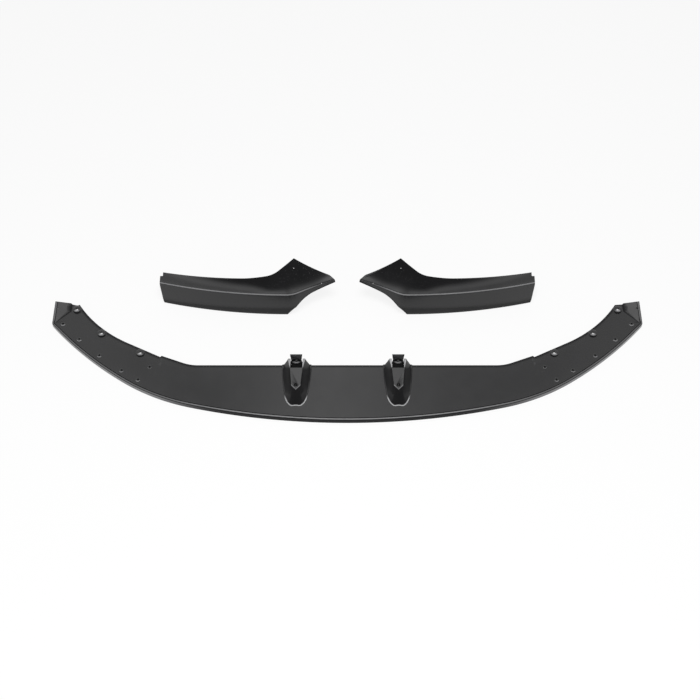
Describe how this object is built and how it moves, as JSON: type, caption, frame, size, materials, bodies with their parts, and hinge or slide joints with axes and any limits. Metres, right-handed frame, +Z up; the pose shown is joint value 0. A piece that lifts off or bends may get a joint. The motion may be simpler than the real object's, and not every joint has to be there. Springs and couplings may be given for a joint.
{
  "type": "front splitter lip",
  "caption": "Gloss black front splitter lip for a car bumper: crescent blade with screw towers, and a pair of angled corner pieces with upswept blades.",
  "frame": {"origin": "centre of the set's bounding box, on the floor that all three mouldings lie on", "axes": "+X to the right as seen from the front of the car, +Y to the rear of the car, +Z up"},
  "size_m": [1.6548, 0.4696, 0.131],
  "materials": {
    "plastic": "gloss black, as moulded"
  },
  "bodies": {
    "root": {"centre_lip": "plastic", "left_corner": "plastic", "right_corner": "plastic"}
  },
  "joints": []
}
